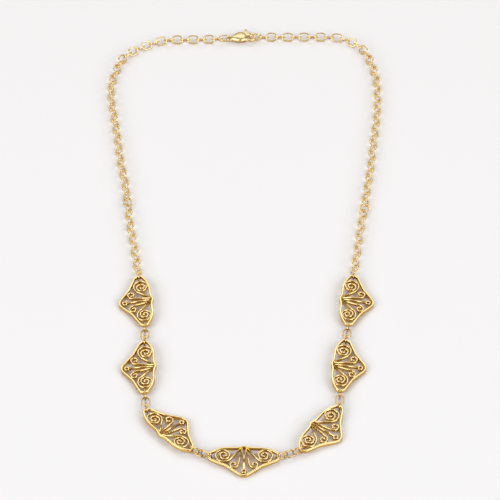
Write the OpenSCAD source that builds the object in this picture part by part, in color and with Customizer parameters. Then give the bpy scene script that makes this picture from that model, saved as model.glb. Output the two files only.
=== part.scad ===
// Drapery necklace: seven pierced plaques linked by jump rings, on a cable
// chain closed by a lobster clasp, lying on a table. Millimetres.
// z = 0 is the table, +Y points to the clasp, +X to the right.

/* [Plaques] */
// Width of the band round a plaque
rim_w = 0.62; // [0.58:0.01:0.64]
// Thickness of the band
rim_h = 1.05; // [0.9:0.05:1.1]
// Width of the scroll wires
scroll_w = 0.5; // [0.44:0.02:0.52]
// Thickness of the scroll wires
scroll_h = 0.95; // [0.75:0.05:1]
// Height of a plaque's two ends above the table
end_rise = 0.66; // [0.64:0.01:0.68]

/* [Jump rings] */
// Outer length of a jump ring
jump_l = 3.5; // [3.48:0.01:3.55]
// Outer width of a jump ring
jump_w = 2.5; // [2.48:0.01:2.55]
// Wire of a jump ring
jump_wire = 0.38; // [0.34:0.01:0.38]

/* [Chain] */
// Outer length of a chain link
link_l = 3.4; // [3.38:0.01:3.45]
// Outer width of a chain link
link_w = 2.7; // [2.6:0.02:2.8]
// Wire of a chain link
link_wire = 0.42; // [0.38:0.01:0.42]
// Lean of a link about the chain's run, to one side and then the other
link_lean = 45; // [43:1:47]

/* [Clasp] */
// Thickness of the clasp's body
claw_h = 2.0; // [1.9:0.05:2.1]
// Thickness of the hook
hook_h = 0.8; // [0.7:0.02:0.8]
// Thickness of the lever
lever_h = 0.6; // [0.55:0.01:0.62]
// Pin of the lever
pin_r = 0.3; // [0.28:0.01:0.31]
// Outer length of the ring in the claw
claw_ring_l = 3.8; // [3.75:0.01:3.85]

/* [Hidden] */
$fn = 32;
arc_step = 12;

// Plaques along the front: centre x, y, heading of the long axis, +1 or -1 for
// the end that faces the next plaque, and how far a ring's middle stands off
// the inner edge of its band, and how far along that edge. The third plaque
// lies turned over.
PLACES = [[-27.45, -24.9, -83.1, 1, 0.95, 0],
    [-26.2, -49.35, -88.5, 1, 0.95, 0],
    [-19.55, -71.7, 131.2, -1, 0.82, -0.3],
    [0.2, -80.8, -0.6, 1, 0.95, 0],
    [20.15, -71.15, 55.7, 1, 0.95, 0],
    [26.35, -48.75, 84, 1, 0.95, 0],
    [29, -24.65, 84.1, 1, 0.95, 0]];

// Right half of the outline, from the tip round to the top: corner x, y and
// corner radius
HALF = [[4.75, -3.25, 4],
    [9.3, -1.2, 1.9],
    [9.62, 0.85, 1.4],
    [6.35, 2.8, 8],
    [1.7, 2.85, 2]];
TIP = [0, -6.94, 2.4];
BUMP = [0, 3.42, 1.8];
OUTLINE = concat([TIP], HALF, [BUMP],
    [for (i = [len(HALF) - 1:-1:0]) [-HALF[i].x, HALF[i].y, HALF[i][2]]]);
// Inner edge of the band at a plaque's end, and the lowest point of the tip
rim_reach = 9.483 - rim_w;
tip_reach = 6.305;
plaque_tilt = asin(end_rise / tip_reach);

// Scroll wires: rows of length and 0 for a straight run, or radius and turn
OUTER_SCROLL = [[4.3, 0], [2.75, 51], [1.88, 90], [1.83, 90], [1.72, 90], [1.2, 90], [1.2, 90],
    [0.88, 90], [0.72, 90], [0.4, 90], [0.2, 0]];
OUTER_START = [0.6, 2.7, -51];
INNER_SCROLL = [[5.1, 0], [1.4, 81], [0.82, 180], [0.5, 120]];
INNER_START = [0.55, 2.7, -81];
// Round grains on the inner scrolls' stems: x, y, radius
GRAINS = [[0.79, 1.2, 0.34], [0.92, 0.4, 0.34], [1.05, -0.4, 0.32]];

// Hand-set points along the chain's run, from the connectors
CONNECT_L = [-32.45, 13.9];
CONNECT_R = [33.6, 11.5];
LOWER_L = [CONNECT_L, [-31.4, 4.8], [-30, -4.6]];
LOWER_R = [CONNECT_R, [32.5, 4.8], [31.3, -4.6]];
UPPER_L = [CONNECT_L, [-33.2, 21.3], [-34.8, 30.5], [-35.9, 40], [-37.2, 49.3], [-38.2, 57], [-38.2, 64.1],
    [-35.9, 73.1], [-33.2, 76.8], [-29.6, 79.5], [-23.5, 82.3], [-16, 82.7], [-11.5, 82.8]];
UPPER_R = [CONNECT_R, [34.3, 18], [35.7, 27.8], [36.7, 37.1], [37.8, 46.5], [38.5, 56], [38.4, 65],
    [37, 72.4], [35.3, 77.5], [32.6, 80.8], [28.4, 83.3], [22, 83.9], [14.8, 83.8], [10, 83.9]];

// Clasp: its middle, and its points measured from there
claw = [-0.35, 83.6];
tail = [-3.95, -0.45];
pivot = [-0.6, 0.8];
eye = [1.95, 0.35];
eye_r = 1.15;
hook_w = 0.9;

jump_r = (jump_w - jump_wire) / 2;
link_z = (link_w - link_wire) / 2 * sin(link_lean) + link_wire / 2;
jump_z = jump_w / 2;
flat_z = 1.05;
last_pitch = 2.33;

function unit(v) = v / norm(v);
function left_of(d) = [-d.y, d.x];
function heading(d) = atan2(d.y, d.x);
function along(a) = [cos(a), sin(a)];
function turn_between(d, e) = atan2(d.x * e.y - d.y * e.x, d.x * e.x + d.y * e.y);

// Smooth curve through the points p, then places spaced evenly along it
function smooth(a, b, c, d, t) = (2 * b + (c - a) * t + (2 * a - 5 * b + 4 * c - d) * t * t
    + (3 * b - a - 3 * c + d) * t * t * t) / 2;
function curve(p) = [for (i = [0:len(p) - 2], j = [0:12]) if (j < 12 || i == len(p) - 2)
    smooth(i == 0 ? 2 * p[0] - p[1] : p[i - 1], p[i], p[i + 1],
        i == len(p) - 2 ? 2 * p[i + 1] - p[i] : p[i + 2], j / 12)];
function run_lengths(c) = [for (i = 0, s = 0; i < len(c);
    s = s + (i + 1 < len(c) ? norm(c[i + 1] - c[i]) : 0), i = i + 1) s];
function evenly(c, s, n) = let (
    xs = [for (i = [0:len(c) - 1]) [s[i], c[i].x]],
    ys = [for (i = [0:len(c) - 1]) [s[i], c[i].y]],
    l = s[len(s) - 1])
    [for (i = [0:n]) [lookup(l * i / n, xs), lookup(l * i / n, ys)]];
function stations(p, n) = let (c = curve(p)) evenly(c, run_lengths(c), n);
function run_heading(s, i) = heading(s[min(i + 1, len(s) - 1)] - s[max(i - 1, 0)]);

// Where the band's inner edge is at the plaque's end nearest the chain or a neighbour
function rim_end(row, side) = [row.x, row.y] + side * row[3] * rim_reach * along(row[2])
    + row[5] * left_of(along(row[2]));
ring_spot_l = rim_end(PLACES[0], -1) + PLACES[0][4] * along(PLACES[0][2] + 180);
ring_spot_r = rim_end(PLACES[6], 1) + PLACES[6][4] * along(PLACES[6][2]);
claw_ring_l_spot = claw + tail + [-1.38, 0];
claw_ring_r_spot = claw + [3.72, -0.13];
run_l_lower = stations(concat(LOWER_L, [ring_spot_l + last_pitch * along(97)]), 11);
run_r_lower = stations(concat(LOWER_R, [ring_spot_r + last_pitch * along(83)]), 10);
run_l_upper = stations(concat(UPPER_L, [claw_ring_l_spot + [-2.26, -0.1]]), 39);
run_r_upper = stations(concat(UPPER_R, [claw_ring_r_spot + [2.3, 0.36]]), 41);

// Points round the outline, set in from it by that much
function corner_points(i, inset) = let (
    n = len(OUTLINE),
    c = [OUTLINE[i].x, OUTLINE[i].y],
    before = [OUTLINE[(i + n - 1) % n].x, OUTLINE[(i + n - 1) % n].y],
    after = [OUTLINE[(i + 1) % n].x, OUTLINE[(i + 1) % n].y],
    r = OUTLINE[i][2],
    d = unit(c - before),
    turn = turn_between(d, unit(after - c)),
    side = sign(turn),
    middle = c - d * r * tan(abs(turn) / 2) + left_of(d) * r * side,
    steps = max(2, ceil(abs(turn) / arc_step)))
    [for (k = [0:steps]) middle - side * (r - side * inset) * left_of(along(heading(d) + turn * k / steps))];
function outline_points(inset) = [for (i = [0:len(OUTLINE) - 1]) each corner_points(i, inset)];

// Points along a wire's middle line: x, y, heading
function next_state(s, l, turn) = turn == 0
    ? [s.x + l * cos(s[2]), s.y + l * sin(s[2]), s[2]]
    : [s.x - l * (sin(s[2]) - sin(s[2] + turn)), s.y + l * (cos(s[2]) - cos(s[2] + turn)), s[2] + turn];
function states(start, rows) = [for (i = 0, s = start; i <= len(rows);
    s = i < len(rows) ? next_state(s, rows[i][0], rows[i][1]) : s, i = i + 1) s];
function middle_line(start, rows) = let (s = states(start, rows))
    [start, for (i = [0:len(rows) - 1], steps = [max(1, ceil(rows[i][1] / arc_step))], k = [1:steps])
        next_state(s[i], rows[i][0] * (rows[i][1] == 0 ? k / steps : 1), rows[i][1] * k / steps)];
function beside(m, off) = [for (q = m) [q.x - off * sin(q[2]), q.y + off * cos(q[2])]];
function reversed(v) = [for (i = [len(v) - 1:-1:0]) v[i]];

module band() {
    outer = outline_points(0);
    inner = outline_points(rim_w);
    n = len(outer);
    linear_extrude(rim_h)
        polygon(concat(outer, inner), [[for (i = [0:n - 1]) i], [for (i = [0:n - 1]) 2 * n - 1 - i]]);
}

module bent_wire(start, rows, ball) {
    m = middle_line(start, rows);
    linear_extrude(scroll_h) polygon(concat(beside(m, scroll_w / 2), reversed(beside(m, -scroll_w / 2))));
    last = m[len(m) - 1];
    translate([last.x, last.y, 0]) cylinder(r = ball, h = scroll_h);
}

module half_scrolls() {
    bent_wire(OUTER_START, OUTER_SCROLL, 0.33);
    bent_wire(INNER_START, INNER_SCROLL, 0.32);
    for (g = GRAINS) translate([g.x, g.y, 0]) cylinder(r = g[2], h = scroll_h);
}

module plaque_shape() {
    band();
    half_scrolls();
    mirror([1, 0, 0]) half_scrolls();
    translate([-scroll_w / 2, -4.1, 0]) cube([scroll_w, 7.05, scroll_h]);
    translate([0, -4.62, 0]) difference() {
        cylinder(r = 0.55 + scroll_w / 2, h = scroll_h);
        translate([0, 0, -1]) cylinder(r = 0.55 - scroll_w / 2, h = scroll_h + 2);
    }
}

module plaque(i)
    color("goldenrod") translate([PLACES[i].x, PLACES[i].y, end_rise])
        rotate([0, 0, PLACES[i][2]]) rotate([plaque_tilt, 0, 0]) plaque_shape();

// Closed oval ring lying in its own plane, long way along x
module oval(l, w, wire) {
    r = (w - wire) / 2;
    s = (l - w) / 2;
    for (side = [0, 1]) rotate([0, 0, 180 * side]) {
        translate([s, 0, 0]) rotate([0, 0, -90]) rotate_extrude(angle = 180) translate([r, 0]) circle(wire / 2);
        translate([-s, r, 0]) rotate([0, 90, 0]) cylinder(r = wire / 2, h = 2 * s);
    }
}

module placed_oval(at, z, a, lean, l, w, wire)
    translate([at.x, at.y, z]) rotate([0, 0, a]) rotate([lean, 0, 0]) oval(l, w, wire);

module jump_ring(at, z, a, lean)
    color("gold") placed_oval(at, z, a, lean, jump_l, jump_w, jump_wire);

// Rings a, b and c between plaque i and the next one: k is 0, 1 or 2
module gap_ring(i, k) {
    p = rim_end(PLACES[i], 1);
    q = rim_end(PLACES[i + 1], -1);
    g = norm(q - p);
    u = unit(q - p);
    a = PLACES[i][4];
    c = g - PLACES[i + 1][4];
    t = [a, (a + c) / 2, c][k];
    jump_ring(p + u * t, k == 1 ? flat_z : jump_z, heading(u), k == 1 ? 0 : 90);
}

module chain(s, n, lean = link_lean)
    color("khaki")
        for (i = [1:n])
            placed_oval(s[i], link_z, run_heading(s, i), i % 2 == 0 ? lean : -lean, link_l, link_w, link_wire);

module clasp_body() {
    color("orange") translate([claw.x, claw.y, 0]) {
        difference() {
            union() {
                translate([tail.x, tail.y, 0.6]) cylinder(r = 1, h = 0.8);
                hull() {
                    translate([-2.75, -0.35, 0.5]) cylinder(r = 0.75, h = claw_h - 1);
                    translate([-0.75, 0.15, 0]) cylinder(r = 1.6, h = claw_h);
                    translate([-0.75, 0.15, 0.35]) cylinder(r = 1.95, h = claw_h - 0.7);
                }
                translate([eye.x, eye.y, 0.7]) rotate([0, 0, 165])
                    rotate_extrude(angle = 270) translate([eye_r, 0]) square([hook_w, hook_h]);
            }
            translate([eye.x, eye.y, -1]) cylinder(r = eye_r, h = 4);
            translate([tail.x, tail.y, -1]) cylinder(r = 0.5, h = 4);
            translate([-1.7, -0.3, 0.62]) cube([5, 4, 0.76]);
        }
        translate([pivot.x, pivot.y, 0.3]) cylinder(r = pin_r, h = claw_h - 0.6);
    }
}

module clasp_lever() {
    color("peru") translate([claw.x, claw.y, 1 - lever_h / 2])
        difference() {
            union() {
                translate([pivot.x, pivot.y, 0]) cylinder(r = 0.75, h = lever_h);
                linear_extrude(lever_h)
                    polygon([[-0.55, 0.2], [2.28, 0.72], [2.3, 1.31], [1.3, 1.6], [1.35, 3.2], [0.45, 3.2], [0.3, 1.8], [-0.6, 1.5]]);
                translate([2.3, 1.015, 0]) cylinder(r = 0.3, h = lever_h);
                translate([0.9, 3.2, 0]) cylinder(r = 0.45, h = lever_h);
            }
            translate([pivot.x, pivot.y, -1]) cylinder(r = pin_r + 0.06, h = 3);
        }
}

plaque(0);  // plaque_1
plaque(1);  // plaque_2
plaque(2);  // plaque_3
plaque(3);  // plaque_4
plaque(4);  // plaque_5
plaque(5);  // plaque_6
plaque(6);  // plaque_7
gap_ring(0, 0);  // jump_ring_12a
gap_ring(0, 1);  // jump_ring_12b
gap_ring(0, 2);  // jump_ring_12c
gap_ring(1, 0);  // jump_ring_23a
gap_ring(1, 1);  // jump_ring_23b
gap_ring(1, 2);  // jump_ring_23c
gap_ring(2, 0);  // jump_ring_34a
gap_ring(2, 1);  // jump_ring_34b
gap_ring(2, 2);  // jump_ring_34c
gap_ring(3, 0);  // jump_ring_45a
gap_ring(3, 1);  // jump_ring_45b
gap_ring(3, 2);  // jump_ring_45c
gap_ring(4, 0);  // jump_ring_56a
gap_ring(4, 1);  // jump_ring_56b
gap_ring(4, 2);  // jump_ring_56c
gap_ring(5, 0);  // jump_ring_67a
gap_ring(5, 1);  // jump_ring_67b
gap_ring(5, 2);  // jump_ring_67c
jump_ring(ring_spot_l, jump_z, 97, 90);  // end_ring_left
jump_ring(ring_spot_r, jump_z, 83, 90);  // end_ring_right
jump_ring(CONNECT_L, flat_z, -80, 0);  // connector_left
jump_ring(CONNECT_R, flat_z, -98, 0);  // connector_right
chain(run_l_lower, 11);  // chain_left_lower
chain(run_l_upper, 39);  // chain_left_upper
chain(run_r_lower, 10);  // chain_right_lower
chain(run_r_upper, 41, -link_lean);  // chain_right_upper
jump_ring(claw_ring_l_spot, jump_w / 2, 0, 90);  // clasp_ring_left
color("gold") placed_oval(claw_ring_r_spot, 1.35, 9, 90, claw_ring_l, 2.7, 0.45);  // clasp_ring_right
clasp_body();
clasp_lever();
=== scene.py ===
"""Looks of the drapery necklace: pierced gold plaques, rings, cable chain and clasp.

Every shape is worked out in millimetres in the part's own frame (z = 0 is the
table, +Y points to the clasp) and put into its mesh in metres.
"""

from __future__ import annotations

import logging
import math
from dataclasses import dataclass, field
from enum import Enum

import bpy
import numpy as np
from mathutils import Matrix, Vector

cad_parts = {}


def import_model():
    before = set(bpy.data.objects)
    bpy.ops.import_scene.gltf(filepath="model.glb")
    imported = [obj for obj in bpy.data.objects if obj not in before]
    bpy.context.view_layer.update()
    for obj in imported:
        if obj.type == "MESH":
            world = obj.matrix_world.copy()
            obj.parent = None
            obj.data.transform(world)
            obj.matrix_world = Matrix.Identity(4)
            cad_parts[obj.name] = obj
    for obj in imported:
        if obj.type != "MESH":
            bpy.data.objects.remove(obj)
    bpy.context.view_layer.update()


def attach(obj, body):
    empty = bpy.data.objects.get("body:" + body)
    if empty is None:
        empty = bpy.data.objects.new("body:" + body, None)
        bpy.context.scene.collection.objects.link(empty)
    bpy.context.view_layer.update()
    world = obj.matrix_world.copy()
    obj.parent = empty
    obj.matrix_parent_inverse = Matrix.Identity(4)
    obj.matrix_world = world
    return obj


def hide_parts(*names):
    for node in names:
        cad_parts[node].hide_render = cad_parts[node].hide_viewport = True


MM = 0.001
LOG = logging.getLogger("necklace")
Pair = tuple[float, float]
Triple = tuple[float, float, float]

# Body that everything but the clasp's lever belongs to
NECKLACE = "necklace"
# Body of the clasp's lever
LEVER = "clasp_lever"


class Slot(Enum):
    """Material slots of the part's record."""

    PLAQUES = "gold_plaques"
    RINGS = "gold_rings"
    CLASP = "gold_clasp"


# Shapes

# Direction away from the table
UP = np.array([0.0, 0.0, 1.0])
# Power of the rounded square that is a circle
CIRCLE = 2
# Angle from a bead's pole to its first row of points, in radians
POLE_CAP = 0.12


@dataclass
class Shell:
    """One or more closed surfaces.

    Attributes:
        points: Their points, in millimetres, one row each.
        faces: Each face's corners, as numbers of rows.
    """

    points: np.ndarray
    faces: list[list[int]]

    def outward(self) -> Shell:
        """Turns the faces over where the enclosed volume comes out negative.

        The volume is a sixth of the sum, over each face's fan of triangles, of
        the first corner's dot product with the cross product of the other two.

        Returns:
            The shell with its faces pointing outwards.
        """
        total = 0.0
        for size in {len(f) for f in self.faces}:
            corners = self.points[np.array([f for f in self.faces if len(f) == size])]
            for k in range(1, size - 1):
                normal = np.cross(corners[:, k], corners[:, k + 1])
                total += float(np.sum(corners[:, 0] * normal))
        if total < 0:
            self.faces = [f[::-1] for f in self.faces]
        return self

    def placed(self, turn: np.ndarray, at: np.ndarray) -> Shell:
        """Returns the shell turned by a 3x3 matrix and then moved."""
        return Shell(self.points @ turn.T + at, self.faces)


def joined(shells: list[Shell]) -> Shell:
    """Puts several shells into one.

    Args:
        shells: The shells, which may pass through each other.

    Returns:
        One shell with all their points and faces.
    """
    starts = np.cumsum([0] + [len(s.points) for s in shells])
    faces = [[i + int(start) for i in f] for s, start in zip(shells, starts) for f in s.faces]
    return Shell(np.concatenate([s.points for s in shells]), faces)


def grid_faces(rows: int, columns: int, ring: bool) -> list[list[int]]:
    """Faces of a grid whose columns close on themselves.

    Args:
        rows: Number of sections.
        columns: Points round each section.
        ring: Whether the last section joins the first.

    Returns:
        Four-cornered faces, and a cap on each end where the rows stay open.
    """
    i = np.arange(rows if ring else rows - 1)[:, None]
    j = np.arange(columns)[None, :]
    after = (i + 1) % rows
    beside = (j + 1) % columns
    corners = (i * columns + j, after * columns + j, after * columns + beside, i * columns + beside)
    faces = np.stack(np.broadcast_arrays(*corners), -1).reshape(-1, 4).tolist()
    if not ring:
        faces.append(list(range(columns)))
        faces.append(list(range(rows * columns - 1, (rows - 1) * columns - 1, -1)))
    return faces


def full_turn(count: int) -> np.ndarray:
    """Even angles round a circle, in radians, from 0."""
    return np.arange(count) / count * 2 * np.pi


def spokes(angles: np.ndarray) -> np.ndarray:
    """Plane unit vectors at angles in radians, one row each."""
    return np.stack([np.cos(angles), np.sin(angles)], 1)


def lifted(plane: np.ndarray, z: float = 0.0) -> np.ndarray:
    """Plane points or vectors with one height as their third column."""
    return np.column_stack([plane, np.full(len(plane), z)])


def rounded(count: int, power: float) -> np.ndarray:
    """Points of a rounded square of half-width 1.

    The formula is the superellipse |x|^p + |y|^p = 1, taken at even angles:
    x is the cosine and y the sine, each raised to 2/p with its sign kept.

    Args:
        count: Number of points.
        power: 2 is a circle, and more is squarer.

    Returns:
        The points, one row each.
    """
    circle = spokes((np.arange(count) + 0.5) / count * 2 * np.pi)
    return np.sign(circle) * np.abs(circle) ** (2 / power)


def carried(
    path: np.ndarray, side: np.ndarray, up: np.ndarray, section: np.ndarray, ring: bool
) -> Shell:
    """A section carried along a path.

    Point (i, j) is path point i, plus side vector i times the section's x at j,
    plus up vector i times its y.

    Args:
        path: Middle of each section.
        side: Half the width at each path point, as a vector, or one for all.
        up: Half the height in the same way.
        section: Points round a section of half-width 1.
        ring: Whether the path closes on itself.

    Returns:
        The closed shell.
    """
    side = np.broadcast_to(side, path.shape)[:, None]
    up = np.broadcast_to(up, path.shape)[:, None]
    points = path[:, None] + side * section[None, :, :1] + up * section[None, :, 1:]
    return Shell(points.reshape(-1, 3), grid_faces(len(path), len(section), ring)).outward()


def bead(at: Triple, radius: float, half: float, count: int = 16) -> Shell:
    """A round bead, flattened or drawn out along z.

    Point (i, j) is the middle, plus the radius times the sine of the latitude
    in the direction of longitude j, plus half the height times its cosine.

    Args:
        at: Its middle.
        radius: Its radius seen from above.
        half: Half its height.
        count: Points round it.

    Returns:
        The closed shell.
    """
    latitude = np.linspace(POLE_CAP, np.pi - POLE_CAP, count // 2 + 1)[:, None]
    longitude = full_turn(count)[None, :]
    out = radius * np.sin(latitude)
    points = np.stack(np.broadcast_arrays(
        out * np.cos(longitude), out * np.sin(longitude), half * np.cos(latitude)), -1)
    faces = grid_faces(latitude.size, count, False)
    return Shell(points.reshape(-1, 3) + np.array(at), faces).outward()


def plate(outline: np.ndarray, profile: list[Pair]) -> Shell:
    """A flat shape with worked edges.

    Point (i, j) is outline point j, moved inwards by the profile's inset i and
    put at its height. Inwards is to the left of the line between the two
    points beside it.

    Args:
        outline: Plane points, anticlockwise.
        profile: Rows of inset and height, from one face to the other.

    Returns:
        The closed shell.
    """
    onward = np.roll(outline, -1, 0) - np.roll(outline, 1, 0)
    onward /= np.linalg.norm(onward, axis=1, keepdims=True)
    inward = np.stack([-onward[:, 1], onward[:, 0]], 1)
    rows = [lifted(outline + inward * inset, z) for inset, z in profile]
    return Shell(np.concatenate(rows), grid_faces(len(rows), len(outline), False)).outward()


def smooth_through(points: np.ndarray, steps: int, ring: bool) -> np.ndarray:
    """A smooth curve through points.

    Between two points it is half of 2b + (c - a)t + (2a - 5b + 4c - d)t^2 +
    (3b - a - 3c + d)t^3, where a and d are the points before and after them.

    Args:
        points: The points that it passes through.
        steps: Places between one and the next.
        ring: Whether it closes on itself.

    Returns:
        Its points.
    """
    if ring:
        a, b, c, d = (np.roll(points, s, 0) for s in (1, 0, -1, -2))
    else:
        p = np.vstack([2 * points[0] - points[1], points, 2 * points[-1] - points[-2]])
        a, b, c, d = p[:-3], p[1:-2], p[2:-1], p[3:]
    t = (np.arange(steps) / steps)[None, :, None]
    a, b, c, d = (q[:, None] for q in (a, b, c, d))
    curve = (2 * b + (c - a) * t + (2 * a - 5 * b + 4 * c - d) * t**2
             + (3 * b - a - 3 * c + d) * t**3) / 2
    curve = curve.reshape(-1, points.shape[1])
    return curve if ring else np.vstack([curve, points[-1]])


def evenly(curve: np.ndarray, count: int) -> np.ndarray:
    """Places spaced evenly along a plane curve.

    Args:
        curve: Its points.
        count: Steps from one end to the other.

    Returns:
        The places, one more than the steps.
    """
    run = np.concatenate([[0], np.cumsum(np.linalg.norm(np.diff(curve, axis=0), axis=1))])
    at = np.linspace(0, run[-1], count + 1)
    return np.column_stack([np.interp(at, run, curve[:, 0]), np.interp(at, run, curve[:, 1])])


def along(degrees: float) -> np.ndarray:
    """Unit vector of a heading."""
    return np.array([math.cos(math.radians(degrees)), math.sin(math.radians(degrees))])


def left_of(vector: np.ndarray) -> np.ndarray:
    """Plane vector turned a quarter anticlockwise."""
    return np.array([-vector[1], vector[0]])


def heading(vector: np.ndarray) -> float:
    """Heading of a vector, in degrees."""
    return math.degrees(math.atan2(vector[1], vector[0]))


def turn_x(degrees: float) -> np.ndarray:
    """Matrix that turns about x."""
    c, s = along(degrees)
    return np.array([[1, 0, 0], [0, c, -s], [0, s, c]])


def turn_z(degrees: float) -> np.ndarray:
    """Matrix that turns about z."""
    c, s = along(degrees)
    return np.array([[c, -s, 0], [s, c, 0], [0, 0, 1]])


# Finishes

# Patches of tone are this many grains wide
PATCH_GRAINS = 6
# Part of the noise's range that roughness is spread over
NOISE_LOW, NOISE_HIGH = 0.3, 0.7
# A normal's upward share below which metal takes the full painted shade of a wall, and above which
# it takes none
FULL_SHADE_RISE, UNSHADED_RISE = 0.1, 0.75


def colour(code: str) -> tuple[float, float, float, float]:
    """Turns an sRGB hex colour to linear light.

    A channel up to 0.04045 is divided by 12.92. Above it, it is raised by
    0.055, divided by 1.055 and taken to the power 2.4.

    Args:
        code: Six hex digits.

    Returns:
        Red, green, blue and alpha.
    """
    channels = [int(code[i:i + 2], 16) / 255 for i in (0, 2, 4)]
    linear = [v / 12.92 if v <= 0.04045 else ((v + 0.055) / 1.055) ** 2.4 for v in channels]
    return (*linear, 1.0)


def add_node(
    tree: bpy.types.NodeTree, kind: str, links: dict[str, object] | None = None, **settings: object
) -> bpy.types.Node:
    """Adds a node.

    Args:
        tree: The material's node tree.
        kind: The node's type.
        links: Output sockets, or plain values, for its inputs by name.
        settings: The node's own properties.

    Returns:
        The new node.
    """
    node = tree.nodes.new(kind)
    for name, value in settings.items():
        setattr(node, name, value)
    for name, value in (links or {}).items():
        if isinstance(value, bpy.types.NodeSocket):
            tree.links.new(value, node.inputs[name])
        else:
            node.inputs[name].default_value = value
    return node


@dataclass(frozen=True)
class Gold:
    """A yellow gold finish.

    Gold is a metal, so it has no colour of its own under its reflections: they
    are tinted instead, and its darks are what it mirrors.

    Attributes:
        name: The material's name.
        light: Tint of its bright patches.
        deep: Tint of its dull patches.
        side: Painted shade: tint of its walls and undersides, darker than its upward faces.
        smooth: Roughness of its smoothest spots.
        rough: Roughness of its roughest spots.
        grain_mm: Width of the unevenness in its skin. The real one is finer than
            a tenth of a millimetre, and is drawn as coarse as it needs to show.
        dent_mm: Depth of that unevenness.
    """

    name: str
    light: str
    deep: str
    side: str
    smooth: float
    rough: float
    grain_mm: float
    dent_mm: float

    def build(self) -> bpy.types.Material:
        """Makes the material: patches of tone, painted shade on walls, uneven polish and skin.

        The tint goes from deep to light by a wide noise, and from both to the
        wall's painted-shade tint as the surface turns from facing up to upright.
        Roughness and dents follow a fine noise.

        Returns:
            The material.
        """
        material = bpy.data.materials.new(self.name)
        material.use_nodes = True
        tree = material.node_tree
        tree.nodes.clear()
        where = add_node(tree, "ShaderNodeTexCoord").outputs["Object"]
        patches = add_node(tree, "ShaderNodeTexNoise", {
            "Vector": where, "Scale": 1 / (self.grain_mm * PATCH_GRAINS * MM),
            "Detail": 2.0, "Roughness": 0.5})
        skin = add_node(tree, "ShaderNodeTexNoise", {
            "Vector": where, "Scale": 1 / (self.grain_mm * MM),
            "Detail": 3.0, "Roughness": 0.55})
        tone = add_node(tree, "ShaderNodeMix", {
            "Factor": patches.outputs["Fac"],
            "A": colour(self.deep), "B": colour(self.light)}, data_type="RGBA")
        normal = add_node(tree, "ShaderNodeNewGeometry").outputs["Normal"]
        upward = add_node(tree, "ShaderNodeSeparateXYZ", {"Vector": normal}).outputs["Z"]
        # Painted shade: faces turned away from up take the darker side tint
        painted_shade_mask = add_node(tree, "ShaderNodeMapRange", {
            "Value": upward, "From Min": FULL_SHADE_RISE, "From Max": UNSHADED_RISE})
        painted_shade_tint = add_node(tree, "ShaderNodeMix", {
            "Factor": painted_shade_mask.outputs["Result"],
            "A": colour(self.side), "B": tone.outputs["Result"]}, data_type="RGBA")
        polish = add_node(tree, "ShaderNodeMapRange", {
            "Value": skin.outputs["Fac"], "From Min": NOISE_LOW, "From Max": NOISE_HIGH,
            "To Min": self.smooth, "To Max": self.rough})
        dents = add_node(tree, "ShaderNodeBump", {
            "Height": skin.outputs["Fac"], "Strength": 0.6, "Distance": self.dent_mm * MM})
        surface = add_node(tree, "ShaderNodeBsdfPrincipled", {
            "Base Color": painted_shade_tint.outputs["Result"], "Metallic": 1.0,
            "Roughness": polish.outputs["Result"], "Normal": dents.outputs["Normal"]})
        add_node(tree, "ShaderNodeOutputMaterial", {"Surface": surface.outputs["BSDF"]})
        return material


# Yellow gold cast in a mould and polished by hand: sharp small highlights on a
# slightly uneven skin, and painted shade that makes the walls in the pierced work warm and deeper.
CAST_GOLD = Gold("cast_yellow_gold", "FFE8AE", "F3CF84", "D9AC58", 0.07, 0.14, 0.6, 0.006)
# Gold wire drawn through a plate and tumbled: a pale, even sheen, and painted shade on its walls.
DRAWN_GOLD = Gold("drawn_gold_wire", "FFEAB0", "F8DB96", "F0CC84", 0.24, 0.34, 0.6, 0.01)
# Gold wire bent into rings, soldered shut and polished: deeper than the chain,
# with sharp highlights and painted shade on its walls.
RING_GOLD = Gold("soldered_gold_rings", "F3D794", "DFB264", "B88A3E", 0.08, 0.15, 0.5, 0.008)
# Gold struck in a die and buffed: soft, wide highlights, and painted shade on its walls.
STRUCK_GOLD = Gold("struck_gold", "F8E0AC", "F0D49A", "E0BA7A", 0.28, 0.38, 0.8, 0.02)


def add_piece(
    name: str, shell: Shell, finish: bpy.types.Material, body: str, slot: Slot, node: str
) -> bpy.types.Object:
    """Puts a shell into a mesh and ties it to the part.

    Args:
        name: The piece's name.
        shell: Its shape, in millimetres.
        finish: Its material.
        body: The body that it moves with.
        slot: The record's material slot; not used.
        node: The CAD node that it stands for.

    Returns:
        The new object.
    """
    mesh = bpy.data.meshes.new(name)
    mesh.from_pydata((shell.points * MM).tolist(), [], shell.faces)
    mesh.shade_smooth()
    mesh.materials.append(finish)
    piece = bpy.data.objects.new(name, mesh)
    bpy.context.scene.collection.objects.link(piece)
    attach(piece, body)
    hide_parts(node)
    LOG.info("%s: %d points, stands for %s", name, len(shell.points), node)
    return piece


# Plaques


@dataclass(frozen=True)
class Seat:
    """Where a plaque lies, and how the rings next to it hold it.

    Attributes:
        x: Place of its middle.
        y: Place of its middle.
        heading: Direction of its long way, in degrees.
        next_end: 1 where that direction leads to the next plaque, and -1 where
            the plaque is turned round.
        grip: From the band's inner edge to the middle of the ring through it.
        shift: Of that edge's place, to the left of the heading.
    """

    x: float
    y: float
    heading: float
    next_end: int
    grip: float
    shift: float

    def rim_end(self, side: int, reach: float) -> np.ndarray:
        """Place of the band's inner edge at the end towards a neighbour.

        Args:
            side: 1 for the next neighbour and -1 for the one before.
            reach: Half the plaque's inner length.

        Returns:
            The place, seen from above.
        """
        onward = along(self.heading)
        middle = np.array([self.x, self.y])
        return middle + side * self.next_end * reach * onward + self.shift * left_of(onward)


SEATS = [
    Seat(-27.45, -24.9, -83.1, 1, 0.95, 0),
    Seat(-26.2, -49.35, -88.5, 1, 0.95, 0),
    Seat(-19.55, -71.7, 131.2, -1, 0.82, -0.3),
    Seat(0.2, -80.8, -0.6, 1, 0.95, 0),
    Seat(20.15, -71.15, 55.7, 1, 0.95, 0),
    Seat(26.35, -48.75, 84, 1, 0.95, 0),
    Seat(29, -24.65, 84.1, 1, 0.95, 0),
]


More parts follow.
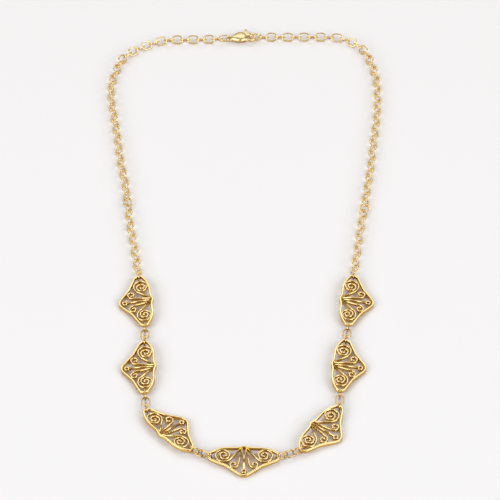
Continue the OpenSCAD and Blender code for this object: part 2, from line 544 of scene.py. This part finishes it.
@dataclass
class Plaques:
    """The seven pierced plaques: a soft band, two pairs of scrolls and a fan.

    Attributes:
        rim_w: Width of the band.
        rim_h: Its height.
        wire_w: Width of the scroll wires.
        wire_h: Their height.
        end_reach: From a plaque's middle to the band's outer edge at its ends.
        end_rise: Height of a plaque's two ends above the table.
        tip_reach: From the line through those ends to the tip.
        half: Corners of the outline's right half: x, y and radius.
        tip: Its corner at the tip.
        bump: Its corner at the top.
        outer_start: Where a large scroll begins: x, y and heading.
        outer_scroll: Its runs: a length and 0, or a radius and a turn.
        outer_ball: Radius of the bead on its end.
        inner_start: Where a small scroll begins.
        inner_scroll: Its runs.
        inner_ball: Radius of the bead on its end.
        grains: The fan's grains: x, y and radius.
        stem: Upper and lower end of the stem along y.
        loop_y: Middle of the small ring under it along y.
        loop_r: Radius of that ring's middle line.
        loop_points: Points round that line.
        corner_step: Largest turn between two points of a corner, in degrees.
        corner_least: Fewest steps round a corner.
        bend_step: Largest turn between two points of a bent wire, in degrees.
        rim_section: Points round the band, and how square it is.
        wire_section: The same for a wire.
    """

    rim_w: float = 0.62
    rim_h: float = 1.05
    wire_w: float = 0.5
    wire_h: float = 0.95
    end_reach: float = 9.483
    end_rise: float = 0.66
    tip_reach: float = 6.305
    half: list[Triple] = field(default_factory=lambda: [
        (4.75, -3.25, 4), (9.3, -1.2, 1.9), (9.62, 0.85, 1.4), (6.35, 2.8, 8), (1.7, 2.85, 2)])
    tip: Triple = (0, -6.94, 2.4)
    bump: Triple = (0, 3.42, 1.8)
    outer_start: Triple = (0.6, 2.7, -51)
    outer_scroll: list[Pair] = field(default_factory=lambda: [
        (4.3, 0), (2.75, 51), (1.88, 90), (1.83, 90), (1.72, 90), (1.2, 90), (1.2, 90),
        (0.88, 90), (0.72, 90), (0.4, 90), (0.2, 0)])
    outer_ball: float = 0.33
    inner_start: Triple = (0.55, 2.7, -81)
    inner_scroll: list[Pair] = field(default_factory=lambda: [
        (5.1, 0), (1.4, 81), (0.82, 180), (0.5, 120)])
    inner_ball: float = 0.32
    grains: list[Triple] = field(default_factory=lambda: [
        (0.79, 1.2, 0.34), (0.92, 0.4, 0.34), (1.05, -0.4, 0.32)])
    stem: Pair = (2.95, -4.1)
    loop_y: float = -4.62
    loop_r: float = 0.55
    loop_points: int = 40
    corner_step: float = 4
    corner_least: int = 3
    bend_step: float = 8
    rim_section: tuple[int, float] = (20, 3.6)
    wire_section: tuple[int, float] = (14, 3)

    def outline(self) -> list[Triple]:
        """The outline's corners, anticlockwise from the tip: x, y and radius."""
        mirrored = [(-x, y, r) for x, y, r in reversed(self.half)]
        return [self.tip, *self.half, self.bump, *mirrored]

    def edge(self, inset: float) -> np.ndarray:
        """Points round the outline, set in by a distance.

        Each corner is an arc whose middle is its radius away from both sides;
        point k of an arc is the middle plus the radius, less the inset on an
        outer corner or more on an inner one, in the direction of its angle.

        Args:
            inset: The distance.

        Returns:
            The points.
        """
        corners = self.outline()
        places = np.array([c[:2] for c in corners])
        rows = []
        for i, (place, (_, _, r)) in enumerate(zip(places, corners)):
            before = heading(place - places[i - 1])
            after = heading(places[(i + 1) % len(places)] - place)
            turn = (after - before + 180) % 360 - 180
            sign = 1 if turn > 0 else -1
            onward = along(before)
            back = onward * r * math.tan(math.radians(abs(turn) / 2))
            middle = place - back + left_of(onward) * r * sign
            steps = max(self.corner_least, math.ceil(abs(turn) / self.corner_step))
            a = np.radians(before + turn * np.arange(steps + 1) / steps)
            rows.append(middle + sign * (r - sign * inset) * np.stack([np.sin(a), -np.cos(a)], 1))
        return np.concatenate(rows)

    def band(self) -> Shell:
        """The band: a rounded bar between the outline and the same one set in.

        Returns:
            The closed shell.
        """
        outer = self.edge(0)
        inner = self.edge(self.rim_w)
        path = lifted((outer + inner) / 2, self.rim_h / 2)
        side = lifted((inner - outer) / 2)
        return carried(path, side, UP * self.rim_h / 2, rounded(*self.rim_section), True)

    def wire(self, path: np.ndarray, side: np.ndarray, ring: bool) -> Shell:
        """A wire of the scrollwork along a plane path.

        Args:
            path: Its middle line.
            side: Unit vectors across it, or one for all.
            ring: Whether it closes on itself.

        Returns:
            The closed shell.
        """
        path = lifted(path, self.wire_h / 2)
        side = lifted(np.broadcast_to(side, (len(path), 2)) * self.wire_w / 2)
        return carried(path, side, UP * self.wire_h / 2, rounded(*self.wire_section), ring)

    def ball(self, x: float, y: float, radius: float) -> Shell:
        """A bead as high as the scroll wires."""
        return bead((x, y, self.wire_h / 2), radius, self.wire_h / 2)

    def scroll(self, start: Triple, runs: list[Pair], ball: float) -> list[Shell]:
        """A bent wire with a bead on its end.

        The wire's middle goes straight for a length, or round an arc: from a
        heading a, after a turn t on radius r, it has moved by
        r(sin(a + t) - sin a) along x and r(cos a - cos(a + t)) along y.

        Args:
            start: Where it begins: x, y and heading.
            runs: A length and 0 for a straight run, or a radius and a turn.
            ball: The bead's radius.

        Returns:
            The wire and the bead.
        """
        x, y, a = start
        points = [np.array([[x, y]])]
        angles = [np.array([a])]
        for size, turn in runs:
            steps = max(1, math.ceil(turn / self.bend_step))
            share = np.arange(1, steps + 1) / steps
            if turn:
                from_angle = math.radians(a)
                to_angles = np.radians(a + turn * share)
                moved = np.stack([np.sin(to_angles) - math.sin(from_angle),
                                  math.cos(from_angle) - np.cos(to_angles)], 1)
            else:
                moved = share[:, None] * along(a)
            run = np.array([[x, y]]) + size * moved
            points.append(run)
            angles.append(a + turn * share)
            x, y, a = *run[-1], a + turn
        angle = np.radians(np.concatenate(angles))
        side = np.stack([-np.sin(angle), np.cos(angle)], 1)
        return [self.wire(np.concatenate(points), side, False), self.ball(x, y, ball)]

    def shape(self) -> Shell:
        """One plaque in its own frame: long way along x, its underside at z 0.

        Returns:
            The plaque.
        """
        half = [*self.scroll(self.outer_start, self.outer_scroll, self.outer_ball),
                *self.scroll(self.inner_start, self.inner_scroll, self.inner_ball),
                *[self.ball(x, y, r) for x, y, r in self.grains]]
        mirrored = [Shell(s.points * [-1, 1, 1], s.faces).outward() for s in half]
        stem = self.wire(np.array([[0, y] for y in self.stem]), along(0), False)
        out = spokes(full_turn(self.loop_points))
        loop = self.wire(out * self.loop_r + [0, self.loop_y], out, True)
        return joined([self.band(), *half, *mirrored, stem, loop])

    def build(self, finish: bpy.types.Material) -> None:
        """Makes the seven plaques, each lying on its tip and its two rings.

        Args:
            finish: Their material.
        """
        shape = self.shape()
        tilt = turn_x(math.degrees(math.asin(self.end_rise / self.tip_reach)))
        for i, seat in enumerate(SEATS, 1):
            at = np.array([seat.x, seat.y, self.end_rise])
            add_piece(f"gold_plaque_{i}", shape.placed(turn_z(seat.heading) @ tilt, at),
                      finish, NECKLACE, Slot.PLAQUES, f"plaque_{i}")


# Rings and chain

# Lean of a ring that stands on its edge, in degrees
UPRIGHT = 90
# Lean of a ring that lies flat
FLAT = 0
# Headings of the chain where it leaves the first and the last plaque
CHAIN_WAY_L, CHAIN_WAY_R = 97, 83


@dataclass(frozen=True)
class Oval:
    """A closed ring of round wire with two straight sides.

    Attributes:
        length: Its outer length.
        width: Its outer width.
        wire: The wire's thickness.
        around: Points along the wire.
        across: Points round the wire.
    """

    length: float
    width: float
    wire: float
    around: int
    across: int

    def shape(self) -> Shell:
        """The ring in its own plane, long way along x.

        The path is two half circles, joined by straight runs: half circle k is
        the radius in the direction of its angle, moved to its own end.

        Returns:
            The closed shell.
        """
        radius = (self.width - self.wire) / 2
        straight = (self.length - self.width) / 2
        half = spokes(np.linspace(-np.pi / 2, np.pi / 2, self.around // 2))
        out = np.concatenate([half, -half])
        end = np.where(np.arange(len(out)) < len(half), straight, -straight)
        path = lifted(out * radius + end[:, None] * [1, 0])
        side = lifted(out) * self.wire / 2
        return carried(path, side, UP * self.wire / 2, rounded(self.across, CIRCLE), True)

    def placed(self, at: np.ndarray, z: float, way: float, lean: float) -> Shell:
        """The ring leaned about its long way, turned to a heading and moved."""
        return self.shape().placed(turn_z(way) @ turn_x(lean), np.array([*at, z]))


JUMP_RING = Oval(3.5, 2.5, 0.38, 36, 12)
CLAW_RING = Oval(3.8, 2.7, 0.45, 40, 12)
CHAIN_LINK = Oval(3.4, 2.7, 0.42, 22, 8)


@dataclass
class Rings:
    """Jump rings between the plaques, and those at the chain's ends.

    Attributes:
        upright_z: Height of the middle of a ring that stands.
        flat_z: Height of one that lies, carried by its neighbours.
        reach: Half a plaque's inner length.
        connect_l: Place of the ring in the left side's chain.
        connect_r: Place of the one in the right side's.
        connect_way_l: Heading of the one on the left, in degrees.
        connect_way_r: Heading of the one on the right.
    """

    upright_z: float = JUMP_RING.width / 2
    flat_z: float = 1.05
    reach: float = Plaques.end_reach - Plaques.rim_w
    connect_l: Pair = (-32.45, 13.9)
    connect_r: Pair = (33.6, 11.5)
    connect_way_l: float = -80
    connect_way_r: float = -98

    def end_spot(self, side: int) -> np.ndarray:
        """Middle of the ring in the first plaque (-1) or the last (1)."""
        seat = SEATS[0] if side < 0 else SEATS[-1]
        return seat.rim_end(side, self.reach) + side * seat.grip * along(seat.heading)

    def build(self, finish: bpy.types.Material) -> None:
        """Makes three rings in each of the six gaps, and four by the chains.

        Args:
            finish: Their material.
        """
        for i, (seat, after) in enumerate(zip(SEATS, SEATS[1:]), 1):
            start = seat.rim_end(1, self.reach)
            end = after.rim_end(-1, self.reach)
            gap = float(np.linalg.norm(end - start))
            onward = (end - start) / gap
            first = seat.grip
            last = gap - after.grip
            spots = (("a", first, self.upright_z, UPRIGHT),
                     ("b", (first + last) / 2, self.flat_z, FLAT),
                     ("c", last, self.upright_z, UPRIGHT))
            for letter, ahead, z, lean in spots:
                shell = JUMP_RING.placed(start + onward * ahead, z, heading(onward), lean)
                add_piece(f"gold_ring_{i}{i + 1}{letter}", shell, finish, NECKLACE, Slot.RINGS,
                          f"jump_ring_{i}{i + 1}{letter}")
        singles = [
            ("end_ring_left", self.end_spot(-1), self.upright_z, CHAIN_WAY_L, UPRIGHT),
            ("end_ring_right", self.end_spot(1), self.upright_z, CHAIN_WAY_R, UPRIGHT),
            ("connector_left", self.connect_l, self.flat_z, self.connect_way_l, FLAT),
            ("connector_right", self.connect_r, self.flat_z, self.connect_way_r, FLAT)]
        for node, at, z, way, lean in singles:
            add_piece(f"gold_{node}", JUMP_RING.placed(np.array(at), z, way, lean), finish,
                      NECKLACE, Slot.RINGS, node)


@dataclass
class Chains:
    """The cable chain: four runs of oval links that lean to either side.

    Attributes:
        rings: The rings that its lower ends hang in.
        clasp: The clasp between its upper ends.
        lean: Lean of a link about the run, in degrees.
        last_pitch: From an end ring's middle to that of the link in it.
        tail_pitch: From the middle of the clasp's tail ring to that of the link.
        claw_pitch: From the middle of the ring in the claw to that of the link.
        upper_l: Points of the left run above its connector.
        upper_r: Points of the right one.
        lower_l: Points of the left run below its connector.
        lower_r: Points of the right one.
        links_upper_l: Number of links in the left run above its connector.
        links_upper_r: Number in the right one.
        links_lower_l: Number in the left run below its connector.
        links_lower_r: Number in the right one.
        curve_steps: Places on the curve between two of its points.
    """

    rings: Rings
    clasp: Clasp
    lean: float = 45
    last_pitch: float = 2.33
    tail_pitch: Pair = (-2.26, -0.1)
    claw_pitch: Pair = (2.3, 0.36)
    upper_l: list[Pair] = field(default_factory=lambda: [
        (-33.2, 21.3), (-34.8, 30.5), (-35.9, 40), (-37.2, 49.3), (-38.2, 57), (-38.2, 64.1),
        (-35.9, 73.1), (-33.2, 76.8), (-29.6, 79.5), (-23.5, 82.3), (-16, 82.7), (-11.5, 82.8)])
    upper_r: list[Pair] = field(default_factory=lambda: [
        (34.3, 18), (35.7, 27.8), (36.7, 37.1), (37.8, 46.5), (38.5, 56), (38.4, 65), (37, 72.4),
        (35.3, 77.5), (32.6, 80.8), (28.4, 83.3), (22, 83.9), (14.8, 83.8), (10, 83.9)])
    lower_l: list[Pair] = field(default_factory=lambda: [(-31.4, 4.8), (-30, -4.6)])
    lower_r: list[Pair] = field(default_factory=lambda: [(32.5, 4.8), (31.3, -4.6)])
    links_upper_l: int = 39
    links_upper_r: int = 41
    links_lower_l: int = 11
    links_lower_r: int = 10
    curve_steps: int = 12

    def run(self, points: list[Pair | np.ndarray], count: int, lean: float) -> Shell:
        """Links set evenly along a smooth curve.

        Args:
            points: The run's points, from the middle of the ring before its
                first link to the middle of its last link.
            count: Its links.
            lean: Lean of the even links; the odd ones lean the other way.

        Returns:
            All the links.
        """
        at = evenly(smooth_through(np.array(points), self.curve_steps, False), count)
        wire = CHAIN_LINK.wire
        z = (CHAIN_LINK.width - wire) / 2 * math.sin(math.radians(self.lean)) + wire / 2
        links = []
        for i in range(1, count + 1):
            way = heading(at[min(i + 1, count)] - at[i - 1])
            links.append(CHAIN_LINK.placed(at[i], z, way, lean if i % 2 == 0 else -lean))
        return joined(links)

    def build(self, finish: bpy.types.Material) -> None:
        """Makes the four runs.

        Args:
            finish: Their material.
        """
        left = self.rings.connect_l
        right = self.rings.connect_r
        low_l = self.rings.end_spot(-1) + self.last_pitch * along(CHAIN_WAY_L)
        low_r = self.rings.end_spot(1) + self.last_pitch * along(CHAIN_WAY_R)
        high_l = self.clasp.tail_ring_spot() + self.tail_pitch
        high_r = self.clasp.claw_ring_spot() + self.claw_pitch
        runs = [
            ("chain_left_lower", [left, *self.lower_l, low_l], self.links_lower_l, self.lean),
            ("chain_left_upper", [left, *self.upper_l, high_l], self.links_upper_l, self.lean),
            ("chain_right_lower", [right, *self.lower_r, low_r], self.links_lower_r, self.lean),
            ("chain_right_upper", [right, *self.upper_r, high_r], self.links_upper_r, -self.lean)]
        for node, points, count, lean in runs:
            add_piece(f"gold_{node}", self.run(points, count, lean), finish, NECKLACE,
                      Slot.RINGS, node)


# Clasp


@dataclass
class Clasp:
    """The lobster clasp: a pebble of a body with its claw, and the thumb lever.

    Its places are measured from its own middle unless a line says otherwise.

    Attributes:
        place: Its middle in the necklace.
        tail: Middle of its tail hole.
        tail_ring: From that hole to the middle of the ring through it.
        claw_ring: From the clasp's middle to that of the ring in the claw.
        claw_ring_way: Heading of that ring, in degrees.
        mid_z: Half the body's height.
        middle: Middle of the body's large round.
        body_r: Radius of it.
        neck: Middle of its small round.
        neck_r: Radius of it.
        body_points: Points round the large round.
        neck_points: Points round the small one.
        layer_rows: Rows of points in either half of the body.
        pebble: How square the body is in height.
        brim: Share of half the height past which its rows get no smaller.
        slot_low: Floor of the slot for the lever.
        slot_high: Roof of it.
        slot_corner: Corner of what the slot leaves standing.
        core_inset: How far that stands back from the body's face.
        core_lap: How far it goes into floor and roof.
        eye: Middle of the claw's opening.
        hook_r: Radius of the claw's middle line.
        hook_z: Height of that line.
        hook_from: Angle at which it starts, inside the slot, in degrees.
        hook_to: Angle of its end.
        hook_half: Half its width and half its height where it starts.
        hook_taper: What both lose towards the end.
        hook_bead: Radius and half height of the round on its end.
        hook_points: Points along it.
        hook_section: Points round it, and how square it is.
        tail_r: Radius of the tail's middle line.
        tail_half: Half its width and half its height.
        tail_points: Points along it.
        tail_section: Points round it, and how square it is.
        pivot: Place of the lever's pin.
        rivet: Radius and half height of the pin's heads.
        rivet_z: Heights of the two.
        lever_outline: Points round the lever.
        lever_steps: Places on its curve between two of those points.
        lever_edge: Inset of its rounded edge, and half its height.
        lever_rows: Rows of points over that edge.
    """

    place: Pair = (-0.35, 83.6)
    tail: Pair = (-3.95, -0.45)
    tail_ring: Pair = (-1.38, 0)
    claw_ring: Pair = (3.72, -0.13)
    claw_ring_way: float = 9
    mid_z: float = 1.0
    middle: Pair = (-0.75, 0.15)
    body_r: float = 1.95
    neck: Pair = (-2.75, -0.35)
    neck_r: float = 0.75
    body_points: int = 64
    neck_points: int = 20
    layer_rows: int = 12
    pebble: float = 2.6
    brim: float = 0.995
    slot_low: float = 0.62
    slot_high: float = 1.38
    slot_corner: Pair = (-1.7, -0.3)
    core_inset: float = 0.05
    core_lap: float = 0.04
    eye: Pair = (1.95, 0.35)
    hook_r: float = 1.6
    hook_z: float = 1.1
    hook_from: float = 165
    hook_to: float = 435
    hook_half: Pair = (0.45, 0.4)
    hook_taper: Pair = (0.1, 0.08)
    hook_bead: Pair = (0.37, 0.34)
    hook_points: int = 48
    hook_section: tuple[int, float] = (16, 2.5)
    tail_r: float = 0.75
    tail_half: Pair = (0.25, 0.4)
    tail_points: int = 32
    tail_section: tuple[int, float] = (12, 2.3)
    pivot: Pair = (-0.6, 0.8)
    rivet: Pair = (0.34, 0.1)
    rivet_z: Pair = (0.12, 1.93)
    lever_outline: list[Pair] = field(default_factory=lambda: [
        (-1.34, 0.8), (-1.13, 0.27), (-0.6, 0.07), (0.2, 0.34), (1.3, 0.55), (2.2, 0.73),
        (2.55, 0.88), (2.58, 1.12), (2.38, 1.3), (1.9, 1.42), (1.45, 1.6), (1.32, 2.0),
        (1.31, 2.7), (1.33, 3.2), (1.18, 3.54), (0.9, 3.64), (0.62, 3.54), (0.47, 3.2),
        (0.41, 2.6), (0.28, 1.86), (-0.1, 1.62), (-0.6, 1.54), (-1.13, 1.33)])
    lever_steps: int = 4
    lever_edge: Pair = (0.16, 0.3)
    lever_rows: int = 7

    def tail_ring_spot(self) -> np.ndarray:
        """Middle of the ring through the tail."""
        return np.array(self.place) + self.tail + self.tail_ring

    def claw_ring_spot(self) -> np.ndarray:
        """Middle of the ring in the claw."""
        return np.array(self.place) + self.claw_ring

    def body_outline(self) -> np.ndarray:
        """The body from above, anticlockwise.

        It goes round two circles, a large one in the middle and a small one at
        the neck, joined by the two lines that touch both. Such a line touches
        them at the angle, from the line of their middles, whose cosine is the
        difference of the radii over the distance of the middles.

        Returns:
            The outline's points.
        """
        big = np.array(self.middle)
        small = np.array(self.neck)
        apart = float(np.linalg.norm(small - big))
        spread = math.degrees(math.acos((self.body_r - self.neck_r) / apart))
        back = heading(small - big)
        big_way = np.linspace(back - 360 + spread, back - spread, self.body_points)
        small_way = np.linspace(back - spread, back + spread, self.neck_points)
        return np.concatenate([big + self.body_r * spokes(np.radians(big_way)),
                               small + self.neck_r * spokes(np.radians(small_way))])

    def layer(self, outline: np.ndarray, heights: np.ndarray) -> Shell:
        """Part of the pebble between two heights.

        Point (i, j) is outline point j drawn towards the middle by the factor
        (1 - |z - 1|^p)^(1/p), which rounds the body over above and below.

        Args:
            outline: The outline at mid height.
            heights: The rows' heights.

        Returns:
            The closed shell.
        """
        share = np.minimum(np.abs(heights - self.mid_z), self.brim)
        scale = (1 - share ** self.pebble) ** (1 / self.pebble)
        centre = np.array(self.middle)
        rows = [lifted(centre + (outline - centre) * s, z) for s, z in zip(scale, heights)]
        return Shell(np.concatenate(rows), grid_faces(len(rows), len(outline), False)).outward()

    def core(self, outline: np.ndarray) -> Shell:
        """What the slot leaves standing between floor and roof.

        Args:
            outline: The body's outline.

        Returns:
            The closed shell.
        """
        x, y = self.slot_corner
        keep = (outline[:, 0] < x) | (outline[:, 1] < y)
        first = int(np.argmax(keep & ~np.roll(keep, 1)))
        kept = np.roll(outline, -first, 0)[np.roll(keep, -first)]
        return plate(np.vstack([kept, [x, y]]), [
            (self.core_inset, self.slot_low - self.core_lap),
            (self.core_inset, self.slot_high + self.core_lap)])

    def hook(self) -> list[Shell]:
        """The claw: a bar bent round the eye, thinner towards its rounded end.

        Its width and height shrink with the cube of the way along it. The slot
        isn't cut through it, so its first part crosses the lever there.

        Returns:
            The bar and the round on its end.
        """
        angles = np.radians(np.linspace(self.hook_from, self.hook_to, self.hook_points))
        out = lifted(spokes(angles))
        fade = np.linspace(0, 1, self.hook_points)[:, None] ** 3
        half_w, half_h = self.hook_half
        taper_w, taper_h = self.hook_taper
        bar = carried(out * self.hook_r + [*self.eye, self.hook_z], out * (half_w - taper_w * fade),
                      UP * (half_h - taper_h * fade), rounded(*self.hook_section), False)
        tip = np.array(self.eye) + self.hook_r * along(self.hook_to)
        return [bar, bead((*tip, self.hook_z), *self.hook_bead)]

    def tail_loop(self) -> Shell:
        """The ring-shaped tail.

        Returns:
            The closed shell.
        """
        out = lifted(spokes(full_turn(self.tail_points)))
        half_w, half_h = self.tail_half
        return carried(out * self.tail_r + [*self.tail, self.mid_z], out * half_w,
                       UP * half_h, rounded(*self.tail_section), True)

    def body(self) -> Shell:
        """The body with its slot, the claw, the tail and the pin's heads.

        Returns:
            The body, its middle at the origin.
        """
        outline = self.body_outline()
        rise = np.sin(np.linspace(0, np.pi / 2, self.layer_rows))
        top = self.layer(outline, self.slot_high + (2 * self.mid_z - self.slot_high) * rise)
        base = self.layer(outline, self.slot_low * (1 - rise))
        rivets = [bead((*self.pivot, z), *self.rivet) for z in self.rivet_z]
        return joined([top, base, self.core(outline), *self.hook(), self.tail_loop(), *rivets])

    def lever(self) -> Shell:
        """The lever: a thin plate whose edge is a half ellipse in section.

        Returns:
            The lever, measured from the clasp's middle.
        """
        outline = smooth_through(np.array(self.lever_outline), self.lever_steps, True)
        inset, half = self.lever_edge
        angles = np.linspace(-np.pi / 2, np.pi / 2, self.lever_rows)
        return plate(outline, [
            (inset * (1 - math.cos(t)), self.mid_z + half * math.sin(t)) for t in angles])

    def build(self, metal: bpy.types.Material, wire: bpy.types.Material) -> None:
        """Makes the body, the lever and the rings at either end.

        Args:
            metal: Material of the body and the lever.
            wire: Material of the rings.
        """
        at = np.array([*self.place, 0])
        body = self.body().placed(np.eye(3), at)
        lever = self.lever().placed(np.eye(3), at)
        add_piece("gold_clasp_body", body, metal, NECKLACE, Slot.CLASP, "clasp_body")
        add_piece("gold_clasp_lever", lever, metal, LEVER, Slot.CLASP, "clasp_lever")
        small = JUMP_RING.placed(self.tail_ring_spot(), JUMP_RING.width / 2, 0, UPRIGHT)
        large = CLAW_RING.placed(
            self.claw_ring_spot(), CLAW_RING.width / 2, self.claw_ring_way, UPRIGHT)
        add_piece("gold_clasp_ring_left", small, wire, NECKLACE, Slot.RINGS, "clasp_ring_left")
        add_piece("gold_clasp_ring_right", large, wire, NECKLACE, Slot.RINGS, "clasp_ring_right")


# Stage


@dataclass(frozen=True)
class Panel:
    """A soft light that faces the necklace.

    Attributes:
        name: Its name.
        at: Its place, in metres.
        size: Its sides, in metres.
        watts: Its power.
    """

    name: str
    at: Triple
    size: Pair
    watts: float

    def hang(self, tint: Triple) -> None:
        """Adds the light.

        Args:
            tint: Its colour, as linear red, green and blue.
        """
        data = bpy.data.lights.new(self.name, "AREA")
        data.shape = "RECTANGLE"
        data.size, data.size_y = self.size
        data.energy = self.watts
        data.color = tint
        light = bpy.data.objects.new(self.name, data)
        light.location = self.at
        light.rotation_euler = (-Vector(self.at)).to_track_quat("-Z", "Y").to_euler()
        bpy.context.scene.collection.objects.link(light)


@dataclass
class Studio:
    """Camera, pale table and soft lights.

    Attributes:
        look_at: Point that the camera looks at, in millimetres.
        elevation: Height of the camera above the table, in degrees.
        distance: Its distance, in millimetres.
        lens: Its focal length, in millimetres.
        sensor: Its sensor's width, in millimetres.
        near: Nearest distance that it sees, in metres.
        far: Farthest distance that it sees, in metres.
        table: Colour of the table.
        table_half: Half the table's side, in metres.
        table_rough: Roughness of the table.
        panel_tint: Colour of the lights, cool against the warm room.
        room: Colour of the room.
        room_strength: Brightness of the room.
        panels: The lights.
    """

    look_at: Triple = (1.75, -4.0, 0.0)
    elevation: float = 44.8
    distance: float = 883.6
    lens: float = 231.3
    sensor: float = 36
    near: float = 0.01
    far: float = 20
    table: str = "F6F4F3"
    table_half: float = 3.0
    table_rough: float = 0.35
    panel_tint: Triple = (0.815, 0.87, 1.0)
    room: str = "FFEDBC"
    room_strength: float = 0.3
    panels: list[Panel] = field(default_factory=lambda: [
        Panel("panel_left", (-1.2, -0.8, 0.9), (1.4, 1.0), 19),
        Panel("panel_right", (1.2, -0.8, 0.9), (1.4, 1.0), 19),
        Panel("panel_back", (0.0, 1.1, 1.3), (2.2, 1.2), 12.3)])

    def add_camera(self) -> None:
        """Sets the camera at the photograph's angle and distance."""
        data = bpy.data.cameras.new("camera")
        data.lens = self.lens
        data.sensor_width = self.sensor
        data.clip_start = self.near
        data.clip_end = self.far
        camera = bpy.data.objects.new("camera", data)
        level, rise = along(self.elevation)
        x, y, z = self.look_at
        back, up = self.distance * level, self.distance * rise
        camera.location = (x * MM, (y - back) * MM, (z + up) * MM)
        camera.rotation_euler = (math.radians(90 - self.elevation), 0, 0)
        bpy.context.scene.collection.objects.link(camera)
        bpy.context.scene.camera = camera

    def add_table(self) -> None:
        """Lays a white sheet under the necklace.

        Acrylic with a satin face: a soft, barely seen mirror image of the gold.
        """
        half = self.table_half
        mesh = bpy.data.meshes.new("table")
        corners = [(-half, -half, 0), (half, -half, 0), (half, half, 0), (-half, half, 0)]
        mesh.from_pydata(corners, [], [(0, 1, 2, 3)])
        material = bpy.data.materials.new("white_acrylic_sheet")
        material.use_nodes = True
        surface = material.node_tree.nodes["Principled BSDF"]
        surface.inputs["Base Color"].default_value = colour(self.table)
        surface.inputs["Roughness"].default_value = self.table_rough
        mesh.materials.append(material)
        table = bpy.data.objects.new("table", mesh)
        bpy.context.scene.collection.objects.link(table)

    def add_room(self) -> None:
        """Fills the room with an even, warm light."""
        world = bpy.data.worlds.new("room")
        world.use_nodes = True
        background = world.node_tree.nodes["Background"]
        background.inputs["Color"].default_value = colour(self.room)
        background.inputs["Strength"].default_value = self.room_strength
        bpy.context.scene.world = world

    def build(self) -> None:
        """Sets up the whole stage."""
        self.add_camera()
        self.add_table()
        for panel in self.panels:
            panel.hang(self.panel_tint)
        self.add_room()
        bpy.context.scene.view_settings.view_transform = "Standard"


def main() -> None:
    """Builds the necklace and its stage, in order."""
    logging.basicConfig(level=logging.INFO, format="%(message)s")
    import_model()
    Studio().build()
    cast, drawn, bent, struck = (
        gold.build() for gold in (CAST_GOLD, DRAWN_GOLD, RING_GOLD, STRUCK_GOLD))
    rings = Rings()
    clasp = Clasp()
    Plaques().build(cast)
    rings.build(bent)
    Chains(rings, clasp).build(drawn)
    clasp.build(struck, drawn)


if __name__ == "__main__":
    main()
